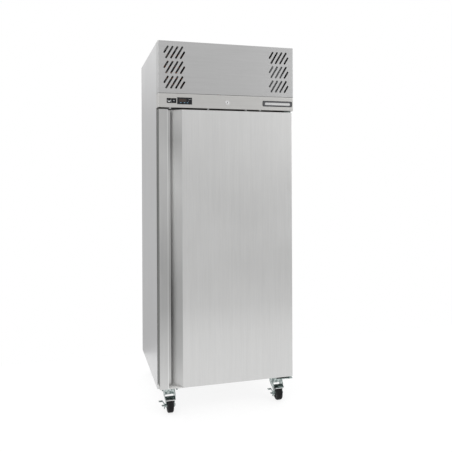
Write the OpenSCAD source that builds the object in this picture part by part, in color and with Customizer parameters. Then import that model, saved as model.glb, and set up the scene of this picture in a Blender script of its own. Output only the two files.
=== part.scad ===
// Reach-in refrigerator: one solid door, top-mounted condensing unit, swivel castors.
// Units are millimetres. The origin is on the floor, under the middle of the cabinet.
// The front faces -Y, and +Z is up.

/* [Cabinet] */
// Width across the outer side panels
cab_w = 745; // [740:1:760]
// Depth from the door's face to the rear panel
cab_d = 743; // [735:1:760]
// Height of the cabinet body, without its castors
body_h = 1820; // [1800:5:1850]
// Height of the castors
castor_h = 132; // [130:1:136]
// Thickness of the insulated walls
wall = 52; // [50:1:55]
// Thickness of the stainless sheet
sheet = 1.2; // [1:0.1:1.5]

/* [Header] */
// Height of the whole header, louvres and controls
header_h = 344; // [340:1:350]
// Height of the control strip at the bottom of the header
strip_h = 72.4; // [70:0.2:76]
// Open joint between the louvre panel and the control strip
strip_joint = 1.8; // [1:0.1:2.5]
// Rounding of the header's upright corners
corner_r = 3; // [2:0.5:4]
// Width of one field of louvres
field_w = 109.5; // [105:0.5:112]
// Distance of a louvre field from the cabinet's side
field_inset = 31; // [29:0.5:34]
// Distance of the top row of louvres from the top
field_top = 26; // [24:0.5:30]
// Rows of louvres in a field
louvre_rows = 3; // [2:1:3]
// Slots in each row
louvre_slots = 5; // [3:1:5]
// Distance between rows of louvres
row_pitch = 77.7; // [77:0.1:79]
// Distance between louvres along a row
slot_pitch = 25.6; // [25:0.1:27]
// Sideways run of one full louvre
slot_run = 39; // [37:0.5:41]
// Height of one full louvre
slot_rise = 65; // [62:0.5:67]
// Width of a louvre slot
slot_w = 9.8; // [8:0.2:11]

/* [Door] */
// How far the door and header stand in front of the cabinet's face
front_depth = 66; // [64:0.5:70]
// Thickness of the door
door_t = 56; // [54:0.5:57]
// Gap between the door and the header
door_gap_top = 10; // [9:0.5:12]
// Height of the door's bottom edge above the cabinet's bottom edge
door_rise = 18.5; // [17:0.5:20]
// Gap from the cabinet's side to the door's handle edge
door_inset_l = 4; // [3:0.5:6]
// Gap from the cabinet's side to the door's hinge edge
door_inset_r = 10; // [9:0.5:12]
// Width of the flat strip that forms the handle
strip_w = 46.6; // [44:0.2:50]
// Thickness of the handle strip in front of the finger pocket
lip_t = 14; // [12:0.5:16]
// Depth of the finger groove
groove_d = 40; // [36:0.5:41]
// Width of the groove's flat floor, from the strip's edge
groove_w = 18.4; // [16:0.2:26]
// Width of the slanted face beside the groove
slant_w = 55.6; // [48:0.2:60]
// How far the finger pocket reaches behind the handle strip
pocket = 18; // [12:1:20]
// Height of the cap that closes the foot of the groove
groove_cap = 3; // [2:0.5:8]
// Width of the magnetic gasket
gasket_w = 14; // [12:0.5:16]
// Distance of the hinge pin from the door's hinge edge
pin_in_x = 16; // [15:0.5:18]
// Distance of the hinge pin from the door's face
pin_in_y = 26; // [25:0.5:28]
// Diameter of the hinge pins
pin_d = 12; // [10:1:12]

/* [Interior] */
// Height of the cabinet floor above the cabinet's bottom edge
floor_rise = 60; // [55:1:65]
// Distance from the interior ceiling to the header's bottom edge
ceiling_drop = 48; // [45:1:50]
// Number of wire shelves
shelf_count = 3; // [3:1:3]
// Height of the lowest shelf above the floor of the cabinet
shelf_first = 270; // [250:5:290]
// Distance between shelves
shelf_pitch = 300; // [280:5:310]
// Width of a shelf
shelf_w = 610; // [600:1:612]
// Depth of a shelf
shelf_d = 520; // [500:5:525]
// Distance between the wires of a shelf
wire_pitch = 32; // [28:1:40]

/* [Castors] */
// Distance of a castor's swivel axis from the cabinet's side
castor_in_x = 68; // [66:0.5:75]
// Distance of the front swivel axes behind the cabinet's face
castor_in_y = 44; // [44:0.5:50]
// Diameter of a wheel
wheel_d = 78; // [76:0.5:80]
// Width of a tyre
tyre_w = 32; // [30:0.5:34]
// Distance of a wheel's axle in front of its swivel axis
trail = 35; // [32:0.5:38]

/* [Hidden] */
$fn = 48;

// Cabinet planes
half_w = cab_w / 2;
y_front = -cab_d / 2;
y_back = cab_d / 2;
y_face = y_front + front_depth;
z_base = castor_h;
z_top = castor_h + body_h;
z_head = z_top - header_h;
z_strip = z_head + strip_h;
z_floor = z_base + floor_rise;
z_ceiling = z_head - ceiling_drop;
deck_rise = 22;
z_deck = z_head + deck_rise;
cav_x = half_w - wall;
cav_back = y_back - wall;
base_t = 2;
rail_h = 23;
frame_t = 2;
liner_t = 1;
deck_t = 2;
seam = 0.2;
clear = 0.3;
eps = 1;

// Door planes
door_l = -half_w + door_inset_l;
door_r = half_w - door_inset_r;
door_z0 = z_base + door_rise;
door_z1 = z_head - door_gap_top;
y_door_back = y_front + door_t;
door_liner_t = 2;
strip_edge = door_l + strip_w;
crease_x = strip_edge + groove_w;
slant_end = crease_x + slant_w;
pocket_x = strip_edge - pocket;
slant_len = sqrt(slant_w * slant_w + groove_d * groove_d);
pin_x = door_r - pin_in_x;
pin_y = y_front + pin_in_y;
pin_fit = 0.05;
bush_d = 20;
bush_h = 30;

// Controls, all centred on the control strip
controls_rise = 35.2;
switch_in = 57.5;
case_in = 139;
lock_rise = 33;
z_controls = z_head + controls_rise;
switch_x = -half_w + switch_in;
switch_step = 25.5;
switch_w = 24.4;
switch_h = 25;
rocker_w = 19;
rocker_h = 20;
rocker_tilt = 8;
case_x = -half_w + case_in;
case_w = 78;
case_h = 35;
case_deep = 50;
bezel_t = 2.4;
window_w = 36;
window_h = 15.5;
key_w = 7;
key_h = 3;
key_drop = 9.6;
key_first = -21;
key_second = -1.2;
key_third = 14.6;
key_z = z_controls - key_drop;
key_x = [case_x + key_first, case_x + key_second, case_x + key_third];
key_deep = 5;
key_proud = 0.9;
lock_x = -3;
lock_z = z_head + lock_rise;
lock_d = 18;
lock_proud = 4;
cam_len = 50;
cam_w = 14;
cam_t = 3;
cam_in = 16;
cam_y = y_front + cam_in;

// Refrigeration
fan_x = -180;
fan_rise = 165;
fan_in = 85;
fan_z = z_deck + fan_rise;
fan_y = y_face + fan_in;
fan_d = 236;
fan_deep = 30;
evap_fan_d = 112;
evap_fan_deep = 18;
evap_deep = 250;
evap_high = 135;
evap_y0 = cav_back - evap_deep;
evap_z0 = z_ceiling - evap_high;
evap_fan_z = evap_z0 + evap_high / 2;
evap_half = 260;
shaft_d = 8;
coil_half = 150;
coil_high = 290;

// Castors
castor_x = half_w - castor_in_x;
castor_front_y = y_face + castor_in_y;
castor_rear_y = y_back - castor_in_y - sheet;
plate_x = 100;
plate_y = 85;
plate_t = 3;
race_d = 52;
race_h = 9;
kingpin_d = 12;
axle_d = 10;
fork_gap = 39;
crown_half = 26;
leg_t = 3;
crown_h = 28;
pedal_out = 10;
axle_z = wheel_d / 2;
crown_top = z_base - plate_t - race_h - clear;
crown_z = crown_top - crown_h;

// A box from its lowest corner to its highest corner
module slab(lo, hi) {
    translate(lo) cube(hi - lo);
}

// A round bar along Y, from its front end
module bar_y(x, y, z, d, len) {
    translate([x, y + len, z]) rotate([90, 0, 0]) cylinder(d = d, h = len);
}

// A round bar along X, from its left end
module bar_x(x, y, z, d, len) {
    translate([x, y, z]) rotate([0, 90, 0]) cylinder(d = d, h = len);
}

// A round bar along Z, from its foot
module bar_z(x, y, z, d, len) {
    translate([x, y, z]) cylinder(d = d, h = len);
}

// ---- Cabinet ----

module side_panel(side) {
    x0 = side > 0 ? half_w - sheet : -half_w;
    slab([x0, y_face, z_base], [x0 + sheet, y_back, z_top]);
}

module left_side_panel() {
    color("lightgrey") side_panel(-1);
}

module right_side_panel() {
    color("lightgrey") side_panel(1);
}

// Rear panel, with outlet slots behind the condensing unit and a hole for the supply gland
module rear_panel() {
    slot_len = 90;
    slot_high = 6;
    columns = 5;
    rows = 8;
    first_x = 85;
    first_z = 90;
    pitch_x = 121;
    pitch_z = 22;
    color("gainsboro") difference() {
        slab([-half_w + sheet, y_back - sheet, z_base], [half_w - sheet, y_back, z_top]);
        for (i = [0 : columns - 1], j = [0 : rows - 1]) {
            x0 = -half_w + first_x + i * pitch_x;
            z0 = z_deck + first_z + j * pitch_z;
            slab([x0, y_back - sheet - eps, z0], [x0 + slot_len, y_back + eps, z0 + slot_high]);
        }
        bar_y(gland_x, y_back - sheet - eps, gland_z, gland_d, sheet + 2 * eps);
    }
}

module roof_panel() {
    color("gainsboro")
        slab([-half_w + sheet, y_face, z_top - sheet], [half_w - sheet, y_back - sheet, z_top]);
}

// Base, folded up at the front to a rail below the door
module base_panel() {
    out = half_w - sheet;
    color("gainsboro") {
        slab([-out, y_face, z_base], [out, y_back - sheet, z_base + base_t]);
        slab([-out, y_face, z_base], [out, y_face + frame_t, z_base + rail_h]);
    }
}

// Face of the cabinet that the gasket closes on: two stiles and two rails
module front_frame() {
    lo = z_base + rail_h + seam;
    hi = z_deck - seam;
    out = half_w - sheet;
    color("silver") {
        slab([-out, y_face, lo], [-cav_x, y_face + frame_t, hi]);
        slab([cav_x, y_face, lo], [out, y_face + frame_t, hi]);
        slab([-cav_x + seam, y_face, lo], [cav_x - seam, y_face + frame_t, z_floor]);
        slab([-cav_x + seam, y_face, z_ceiling], [cav_x - seam, y_face + frame_t, hi]);
    }
}

// Foam between the outer panels and the liner
module cabinet_foam() {
    out = half_w - sheet;
    front = y_face + frame_t;
    color("khaki") difference() {
        slab([-out, front, z_base + base_t], [out, y_back - sheet, z_deck]);
        slab([-cav_x - liner_t, front - eps, z_floor - liner_t],
             [cav_x + liner_t, cav_back + liner_t, z_ceiling + liner_t]);
    }
}

// Stainless lining of the cold space: sides, back, floor and ceiling
module inner_liner() {
    front = y_face + frame_t;
    in = cav_x - seam;
    color("whitesmoke") {
        slab([-cav_x - liner_t, front, z_floor], [-cav_x, cav_back, z_ceiling]);
        slab([cav_x, front, z_floor], [cav_x + liner_t, cav_back, z_ceiling]);
        slab([-in, cav_back, z_floor + seam], [in, cav_back + liner_t, z_ceiling - seam]);
        slab([-in, front, z_floor - liner_t], [in, cav_back, z_floor]);
        slab([-in, front, z_ceiling], [in, cav_back, z_ceiling + liner_t]);
    }
}

// Floor of the machine space above the cold space
module machine_deck() {
    out = half_w - sheet;
    color("silver") slab([-out, y_face, z_deck], [out, y_back - sheet, z_deck + deck_t]);
}

// ---- Header ----

// Plan of a folded header panel: a front and two side returns with round corners
module header_plan() {
    difference() {
        union() {
            translate([-half_w + corner_r, y_front]) square([cab_w - 2 * corner_r, front_depth]);
            translate([-half_w, y_front + corner_r]) square([cab_w, front_depth - corner_r]);
            for (s = [-1, 1])
                translate([s * (half_w - corner_r), y_front + corner_r]) circle(r = corner_r);
        }
        translate([-half_w + sheet, y_front + sheet]) square([cab_w - 2 * sheet, front_depth]);
    }
}

// One slanted slot with round ends, between two shares of its full run
module louvre(x_top, z_tip, from, to) {
    r = slot_w / 2;
    tilt = atan2(slot_rise, slot_run);
    len = norm([slot_rise, slot_run]);
    start = len * from + r;
    stop = len * to - r;
    translate([x_top, y_front + sheet + eps, z_tip]) rotate([90, 0, 0])
        linear_extrude(height = sheet + 2 * eps) rotate(tilt + 180) {
            translate([start, -r]) square([stop - start, slot_w]);
            translate([start, 0]) circle(r = r);
            translate([stop, 0]) circle(r = r);
        }
}

// A field of louvres: each row is cut off at the field's upright edges
module louvre_field(x0) {
    first_top = 22.7;
    for (row = [0 : louvre_rows - 1], i = [0 : louvre_slots - 1]) {
        x_top = first_top + i * slot_pitch;
        from = max(0, (x_top - field_w) / slot_run);
        to = min(1, x_top / slot_run);
        louvre(x0 + x_top, z_top - field_top - row * row_pitch, from, to);
    }
}

module louvre_fascia() {
    right_shift = 2;
    z0 = z_strip + strip_joint;
    color("lightgrey") difference() {
        union() {
            translate([0, 0, z0]) linear_extrude(height = z_top - z0) header_plan();
            slab([-half_w + sheet, y_front + sheet, z_top - sheet], [half_w - sheet, y_face, z_top]);
        }
        louvre_field(-half_w + field_inset);
        louvre_field(half_w - field_inset - field_w + right_shift);
    }
}

screw_x = [-308, -104, 105, 187];
screw_in = 20;
screw_y = y_front + screw_in;
screw_d = 4;
screw_gap = 0.4;

// Control strip: a folded panel with an underside, cut out for the controls, lock and cam
module control_fascia() {
    front = y_front - eps;
    rear = y_front + sheet + eps;
    low = z_head - eps;
    high = z_head + sheet + eps;
    hole_x = rocker_w / 2 + 1.5;
    hole_z = rocker_h / 2 + 1.5;
    case_hole_x = case_w / 2 - 4;
    case_hole_z = case_h / 2 - 3;
    cam_l = 14;
    cam_r = 52;
    cam_gap = 3;
    hinge_half = 18;
    color("lightgrey") difference() {
        union() {
            translate([0, 0, z_head]) linear_extrude(height = strip_h) header_plan();
            slab([-half_w + sheet, y_front + sheet, z_head],
                 [half_w - sheet, y_face, z_head + sheet]);
        }
        for (i = [0, 1]) {
            x = switch_x + i * switch_step;
            slab([x - hole_x, front, z_controls - hole_z], [x + hole_x, rear, z_controls + hole_z]);
        }
        slab([case_x - case_hole_x, front, z_controls - case_hole_z],
             [case_x + case_hole_x, rear, z_controls + case_hole_z]);
        bar_y(lock_x, front, lock_z, lock_d + 2 * pin_fit, sheet + 2 * eps);
        for (x = screw_x) bar_z(x, screw_y, low, screw_d + screw_gap, sheet + 2 * eps);
        slab([lock_x - cam_l, cam_y - cam_gap, low], [lock_x + cam_r, cam_y + cam_t + cam_gap, high]);
        slab([pin_x - hinge_half, pin_y - hinge_half, low], [pin_x + hinge_half, y_face + eps, high]);
    }
}

module fascia_screws() {
    head_d = 12;
    head_h = 5;
    screw_len = 10;
    color("silver") for (x = screw_x) {
        bar_z(x, screw_y, z_head - head_h, head_d, head_h);
        bar_z(x, screw_y, z_head - seam, screw_d, screw_len);
    }
}

// Digital controller: a bezel on the strip and a case behind it, open for the keys
module controller_case() {
    body_x = case_w / 2 - 4.5;
    body_z = case_h / 2 - 3.5;
    hole_x = key_w / 2 + clear;
    hole_z = key_h / 2 + clear;
    hole_end = y_front - bezel_t + key_deep + 1.6;
    color("dimgrey") difference() {
        union() {
            slab([case_x - case_w / 2, y_front - bezel_t, z_controls - case_h / 2],
                 [case_x + case_w / 2, y_front, z_controls + case_h / 2]);
            slab([case_x - body_x, y_front - seam, z_controls - body_z],
                 [case_x + body_x, y_front + case_deep, z_controls + body_z]);
        }
        window_hole(seam);
        for (x = key_x)
            slab([x - hole_x, y_front - bezel_t - eps, key_z - hole_z],
                 [x + hole_x, hole_end, key_z + hole_z]);
    }
}

window_left = 11.5;
window_up = 2.6;
window_t = 1;
window_x = case_x - window_left;
window_z = z_controls + window_up;

module window_hole(gap) {
    slab([window_x - window_w / 2 - gap, y_front - bezel_t - eps, window_z - window_h / 2 - gap],
         [window_x + window_w / 2 + gap, y_front - bezel_t + window_t + seam,
          window_z + window_h / 2 + gap]);
}

module controller_window() {
    color("saddlebrown")
        slab([window_x - window_w / 2, y_front - bezel_t + seam, window_z - window_h / 2],
             [window_x + window_w / 2, y_front - bezel_t + seam + window_t, window_z + window_h / 2]);
}

// Frames that hold the two rocker switches
module switch_frames() {
    proud = 1.6;
    body_x = rocker_w / 2 + 1.3;
    body_z = rocker_h / 2 + 1.3;
    body_deep = 22;
    well_x = rocker_w / 2 + clear;
    well_z = rocker_h / 2 + 0.8;
    well_deep = 13;
    color("dimgrey") for (i = [0, 1]) {
        x = switch_x + i * switch_step;
        difference() {
            union() {
                slab([x - switch_w / 2, y_front - proud, z_controls - switch_h / 2],
                     [x + switch_w / 2, y_front, z_controls + switch_h / 2]);
                slab([x - body_x, y_front - seam, z_controls - body_z],
                     [x + body_x, y_front + body_deep, z_controls + body_z]);
            }
            slab([x - well_x, y_front - proud - eps, z_controls - well_z],
                 [x + well_x, y_front + well_deep, z_controls + well_z]);
        }
    }
}

// A rocker that rests tipped to its first position, on a pivot along X
module rocker(i) {
    x = switch_x + i * switch_step;
    pivot = 3;
    back = 4;
    waist = 2;
    tip_z = rocker_h / 2 - 0.2;
    back_z = rocker_h / 2 - 2;
    translate([x - rocker_w / 2, y_front + pivot, z_controls]) rotate([rocker_tilt, 0, 0])
        rotate([90, 0, 90]) linear_extrude(height = rocker_w)
            polygon([[back, -back_z], [back, back_z], [-pivot, tip_z], [-waist, 0], [-pivot, -tip_z]]);
}

module power_rocker() {
    color("black") rocker(0);
}

module light_rocker() {
    color("black") rocker(1);
}

module control_key(i) {
    x = key_x[i];
    slab([x - key_w / 2, y_front - bezel_t - key_proud, key_z - key_h / 2],
         [x + key_w / 2, y_front - bezel_t + key_deep - key_proud, key_z + key_h / 2]);
}

module set_key() {
    color("lightblue") control_key(0);
}

module down_key() {
    color("lightblue") control_key(1);
}

module up_key() {
    color("lightblue") control_key(2);
}

// Ring around the lock on the face of the strip
module lock_ring() {
    ring_d = 25;
    ring_t = 1.8;
    color("silver") difference() {
        bar_y(lock_x, y_front - ring_t, lock_z, ring_d, ring_t);
        bar_y(lock_x, y_front - ring_t - eps, lock_z, lock_d + 2 * pin_fit, ring_t + 2 * eps);
    }
}

// Key barrel with its keyway
module lock_barrel() {
    key_half = 1;
    key_r = 5;
    key_end = y_front + 2;
    color("silver") difference() {
        bar_y(lock_x, y_front - lock_proud, lock_z, lock_d, cam_y - y_front + lock_proud);
        slab([lock_x - key_half, y_front - lock_proud - eps, lock_z - key_r],
             [lock_x + key_half, key_end, lock_z + key_r]);
    }
}

// Cam that swings down into the door's strike
module lock_cam() {
    color("silver") {
        bar_y(lock_x, cam_y, lock_z, cam_w, cam_t);
        slab([lock_x, cam_y, lock_z - cam_w / 2], [lock_x + cam_len, cam_y + cam_t, lock_z + cam_w / 2]);
    }
}

// Blank nameplate
module badge_plate() {
    plate_w = 170;
    plate_h = 30;
    r = 6;
    plate_deep = 1.5;
    plate_in = 92;
    color("dimgrey") translate([half_w - plate_in, y_front, z_controls]) rotate([90, 0, 0])
        linear_extrude(height = plate_deep) {
            square([plate_w - 2 * r, plate_h], center = true);
            square([plate_w, plate_h - 2 * r], center = true);
            for (sx = [-1, 1], sz = [-1, 1])
                translate([sx * (plate_w / 2 - r), sz * (plate_h / 2 - r)]) circle(r = r);
        }
}

// ---- Door ----

// Plan of the door, drawn in by t from its faces
module door_plan(t) {
    floor_y = y_front + groove_d;
    lean = (t * slant_len - t * slant_w) / groove_d;
    rise = (t * slant_len + (groove_d - t) * slant_w) / groove_d;
    polygon([
        [door_l + t, y_front + t],
        [strip_edge - t, y_front + t],
        [strip_edge - t, y_front + lip_t - t],
        [pocket_x - t, y_front + lip_t - t],
        [pocket_x - t, floor_y + t],
        [crease_x + lean, floor_y + t],
        [crease_x + rise, y_front + t],
        [door_r - t, y_front + t],
        [door_r - t, y_door_back - door_liner_t],
        [door_l + t, y_door_back - door_liner_t]
    ]);
}

// Outer skin: one folded sheet with the handle groove, closed at its head and foot
module door_skin() {
    color("lightgrey") difference() {
        union() {
            translate([0, 0, door_z0]) linear_extrude(height = door_z1 - door_z0) difference() {
                door_plan(0);
                door_plan(sheet);
            }
            for (z = [door_z0, door_z1 - sheet])
                translate([0, 0, z]) linear_extrude(height = sheet) door_plan(0);
            translate([0, 0, door_z0]) linear_extrude(height = groove_cap)
                polygon([[pocket_x, y_front + lip_t], [strip_edge, y_front + lip_t], [strip_edge, y_front],
                         [slant_end, y_front], [crease_x, y_front + groove_d],
                         [pocket_x, y_front + groove_d]]);
        }
        bar_z(pin_x, pin_y, door_z0 - eps, bush_d, sheet + 2 * eps);
        bar_z(pin_x, pin_y, door_z1 - sheet - eps, bush_d, sheet + 2 * eps);
        strike_block(0, door_z1 - sheet - eps);
    }
}

// Foam core, in straight blocks that follow the handle groove
module door_foam() {
    z0 = door_z0 + sheet;
    z1 = door_z1 - sheet;
    y0 = y_front + sheet;
    y1 = y_door_back - door_liner_t;
    behind = y_front + groove_d + sheet;
    top_x = crease_x + (sheet * slant_len + (groove_d - sheet) * slant_w) / groove_d;
    low_x = crease_x + (sheet * slant_len - sheet * slant_w) / groove_d;
    color("khaki") difference() {
        union() {
            slab([door_l + sheet, y0, z0], [pocket_x - sheet, y1, z1]);
            slab([pocket_x - sheet + seam, y0, z0], [strip_edge - sheet, y_front + lip_t - sheet, z1]);
            slab([pocket_x - sheet + seam, behind, z0], [low_x, y1, z1]);
            translate([0, 0, z0]) linear_extrude(height = z1 - z0)
                polygon([[low_x + seam, behind], [top_x + seam, y0], [top_x + seam, y1],
                         [low_x + seam, y1]]);
            slab([top_x + 2 * seam, y0, z0], [door_r - sheet, y1, z1]);
        }
        bar_z(pin_x, pin_y, z0 - eps, bush_d, bush_h + eps);
        bar_z(pin_x, pin_y, z1 - bush_h, bush_d, bush_h + eps);
        strike_block(0, z1 - strike_deep - eps);
    }
}

module door_liner() {
    color("whitesmoke")
        slab([door_l + sheet + seam, y_door_back - door_liner_t, door_z0 + sheet],
             [door_r - sheet - seam, y_door_back, door_z1 - sheet]);
}

// Magnetic gasket: four strips around the opening
module door_gasket() {
    y0 = y_door_back;
    y1 = y_face - clear;
    lap = 6;
    lap_handle = 8;
    x0 = -cav_x - lap_handle - gasket_w;
    x1 = cav_x + lap + gasket_w;
    z0 = z_floor - lap - gasket_w;
    z1 = z_ceiling + lap + gasket_w;
    color("dimgrey") {
        slab([x0, y0, z0], [x0 + gasket_w, y1, z1]);
        slab([x1 - gasket_w, y0, z0], [x1, y1, z1]);
        slab([x0 + gasket_w + seam, y0, z0], [x1 - gasket_w - seam, y1, z0 + gasket_w]);
        slab([x0 + gasket_w + seam, y0, z1 - gasket_w], [x1 - gasket_w - seam, y1, z1]);
    }
}

module hinge_bushes() {
    color("ivory") for (z = [door_z0, door_z1 - bush_h])
        difference() {
            bar_z(pin_x, pin_y, z, bush_d, bush_h);
            bar_z(pin_x, pin_y, z - eps, pin_d + 2 * pin_fit, bush_h + 2 * eps);
        }
}

// Hinge brackets on the cabinet's face, each with a pin that enters the door. The lower one
// is a wide shelf, with a collar that carries the door.
module hinge_brackets() {
    pin_in = 26;
    out = 18;
    low_gap = 10;
    low_t = 5;
    low_w = 90;
    low_z = door_z0 - low_gap - low_t;
    collar_d = 20;
    top_gap = 3;
    top_t = 4;
    top_in = 9;
    top_z = door_z1 + top_gap;
    ear_top = z_deck - 4;
    right = pin_x + out;
    color("silver") {
        slab([right - low_w, pin_y - out, low_z], [right, y_face, low_z + low_t]);
        slab([right - low_w, y_face - low_t, z_base + seam], [right, y_face, low_z + seam]);
        bar_z(pin_x, pin_y, low_z + seam, pin_d, door_z0 + pin_in - low_z);
        bar_z(pin_x, pin_y, low_z + low_t - seam, collar_d, low_gap + seam - clear);
        slab([pin_x - out, pin_y - top_in, top_z], [right, y_face, top_z + top_t]);
        slab([pin_x - out, y_face - top_t, top_z + seam], [right, y_face, ear_top]);
        bar_z(pin_x, pin_y, door_z1 - pin_in, pin_d, top_z - door_z1 + pin_in + seam);
    }
}

strike_deep = 14;
strike_l = 16;
strike_r = 50;
strike_gap = 5;

// Place of the strike in the door's head, from height z up, shrunk by t
module strike_block(t, z) {
    slab([lock_x - strike_l + t, cam_y - strike_gap + t, z],
         [lock_x + strike_r - t, cam_y + cam_t + strike_gap - t, door_z1 + eps]);
}

// Strike: a cup in the door's head that takes the cam
module lock_strike() {
    rim = 2;
    color("silver") difference() {
        intersection() {
            strike_block(seam, door_z1 - sheet - strike_deep);
            slab([-half_w, y_front, door_z0], [half_w, y_back, door_z1]);
        }
        strike_block(seam + rim, door_z1 - sheet - strike_deep + rim);
    }
}

// ---- Interior ----

pilaster_w = 26;
pilaster_t = 12;
runner_t = 1.6;
flange = 22;
rod_d = 6;
wire_d = 4;
shelf_back = 12;
shelf_lap = 1;
pilaster_in = 60;
shelf_y0 = cav_back - shelf_back - shelf_d;

function shelf_z(i) = z_floor + shelf_first + i * shelf_pitch;

// Upright racking strips, two on each wall
module shelf_pilasters() {
    side_t = 2;
    z0 = z_floor + 4;
    z1 = evap_z0 - 10;
    out = pilaster_w / 2;
    in = pilaster_w / 2 - side_t;
    rows = [shelf_y0 + pilaster_in, shelf_y0 + shelf_d - pilaster_in];
    color("silver") for (s = [-1, 1], y = rows)
        difference() {
            x0 = s > 0 ? cav_x - pilaster_t : -cav_x;
            slab([x0, y - out, z0], [x0 + pilaster_t, y + out, z1]);
            slab([x0 + (s > 0 ? -eps : runner_t), y - in, z0 - eps],
                 [x0 + pilaster_t + (s > 0 ? -runner_t : eps), y + in, z1 + eps]);
        }
}

// Angle runners that carry the shelves
module shelf_runners() {
    y0 = shelf_y0 - 20;
    y1 = cav_back - 4;
    color("silver") for (s = [-1, 1], i = [0 : shelf_count - 1]) {
        wall_x = cav_x - pilaster_t - seam;
        z = shelf_z(i) - rod_d / 2 - clear;
        x0 = s > 0 ? wall_x - flange : -wall_x;
        xw = s > 0 ? wall_x - runner_t : -wall_x;
        slab([x0, y0, z - runner_t], [x0 + flange, y1, z]);
        slab([xw, y0, z - flange], [xw + runner_t, y1, z - seam]);
    }
}

// A wire shelf: a rod frame with close wires from front to back
module wire_shelf(i) {
    z = shelf_z(i);
    half = (shelf_w - rod_d) / 2;
    count = floor((shelf_w - wire_pitch) / wire_pitch);
    wire_z = z + (rod_d + wire_d) / 2 - shelf_lap;
    wire_y = shelf_y0 + shelf_lap;
    wire_len = shelf_d - 2 * shelf_lap;
    $fn = 8;
    color("silver") {
        for (s = [-1, 1]) bar_y(s * half, shelf_y0, z, rod_d, shelf_d);
        for (y = [shelf_y0 + rod_d / 2, shelf_y0 + shelf_d / 2, shelf_y0 + shelf_d - rod_d / 2])
            bar_x(-half, y, z, rod_d, 2 * half);
        for (k = [0 : count - 1])
            bar_y((k - (count - 1) / 2) * wire_pitch, wire_y, wire_z, wire_d, wire_len);
    }
}

module lower_shelf() {
    wire_shelf(0);
}

module middle_shelf() {
    wire_shelf(1);
}

module upper_shelf() {
    wire_shelf(2);
}

// Strip lamp under the ceiling, behind the door
module interior_lamp() {
    half = 150;
    y0 = y_face + 30;
    y1 = y_face + 62;
    high = 16;
    color("white") slab([-half, y0, z_ceiling - high], [half, y1, z_ceiling]);
}

// Finned evaporator with its return bends
module evaporator_coil() {
    half = 190;
    y0 = evap_y0 + 90;
    z0 = evap_z0 + 22;
    high = 96;
    deep = 120;
    tube_d = 10;
    tube_out = 12;
    pitch = 24;
    first_z = 20;
    stagger = 30;
    color("silver") {
        slab([-half, y0, z0], [half, y0 + deep, z0 + high]);
        for (s = [-1, 1], k = [0 : 3])
            bar_x(s > 0 ? half : -half - tube_out, y0 + pitch + k * pitch,
                  z0 + first_z + (k % 2) * stagger, tube_d, tube_out);
    }
}

// Cover under the evaporator, with an opening for its fan in front
module evaporator_cover() {
    t = 1.5;
    z1 = z_ceiling - seam;
    y1 = cav_back - 4;
    hole_d = evap_fan_d + 8;
    color("whitesmoke") difference() {
        slab([-evap_half, evap_y0, evap_z0], [evap_half, y1, z1]);
        slab([-evap_half + t, evap_y0 + t, evap_z0 + t], [evap_half - t, cav_back, z1 + eps]);
        bar_y(0, evap_y0 - eps, evap_fan_z, hole_d, t + 2 * eps);
    }
}

// ---- Condensing unit ----

// An axial fan on an axis along Y, from its front face
module fan(x, y, z, d, deep, blades) {
    hub = d * 0.28;
    bore = shaft_d + 2 * pin_fit;
    chord = d * 0.26;
    blade_t = 2;
    twist = 32;
    root = 3;
    translate([x, y + deep, z]) rotate([90, 0, 0]) difference() {
        union() {
            cylinder(d = hub, h = deep);
            for (k = [0 : blades - 1])
                rotate(k * 360 / blades) translate([hub / 2 - root, 0, deep / 2])
                    rotate([twist, 0, 0]) translate([0, -chord / 2, -blade_t / 2])
                        cube([(d - hub) / 2, chord, blade_t]);
        }
        translate([0, 0, -eps]) cylinder(d = bore, h = deep + 2 * eps);
    }
}

module condenser_fan() {
    tip = 14;
    blades = 5;
    color("black") fan(fan_x, fan_y, fan_z, fan_d - tip, fan_deep, blades);
}

module evaporator_fan() {
    tip = 10;
    blades = 5;
    in = 14;
    color("black") fan(0, evap_y0 + in, evap_fan_z, evap_fan_d - tip, evap_fan_deep, blades);
}

// Both fan motors: each a body with a shaft and a mounting plate
module fan_motors() {
    color("grey") {
        motor(fan_x, fan_y, fan_z, fan_deep, 84, 70, 20, z_deck + deck_t);
        motor(0, evap_y0 + 14, evap_fan_z, evap_fan_deep, 44, 40, 12, evap_z0 + 1.5);
    }
}

// A motor behind a fan of the given depth, on a foot that stands at height z0
module motor(x, y, z, deep, d, len, foot_half, z0) {
    gap = 3;
    tip = 4;
    foot_t = 4;
    foot_y = y + deep + gap + len / 2;
    bar_y(x, y + deep + gap, z, d, len);
    bar_y(x, y - tip, z, shaft_d, deep + gap + 2 * tip);
    slab([x - foot_half, foot_y, z0], [x + foot_half, foot_y + foot_t, z - d / 2 + tip]);
}

// Finned condenser behind the left louvres
module condenser_coil() {
    x0 = fan_x - coil_half;
    y0 = y_face + 10;
    z0 = z_deck + deck_t;
    z1 = z0 + coil_high;
    deep = 50;
    proud = 4;
    fins = 24;
    fin_half = 1;
    fin_step = 2 * coil_half / fins;
    color("silver") {
        slab([x0, y0 + proud, z0], [x0 + 2 * coil_half, y0 + deep, z1]);
        for (k = [0 : fins]) {
            x = x0 + k * fin_step;
            slab([x - fin_half, y0, z0], [x + fin_half, y0 + proud + eps, z1]);
        }
    }
}

// Plate and ring that guide the air through the condenser fan
module fan_shroud() {
    y0 = y_face + 62;
    z0 = z_deck + deck_t;
    t = 2;
    deep = 60;
    duct_d = fan_d + 8;
    color("dimgrey") difference() {
        union() {
            slab([fan_x - coil_half, y0, z0], [fan_x + coil_half, y0 + t, z0 + coil_high]);
            bar_y(fan_x, y0, fan_z, duct_d, deep);
        }
        bar_y(fan_x, y0 - eps, fan_z, duct_d - 2 * t, deep + 2 * eps);
    }
}

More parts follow.
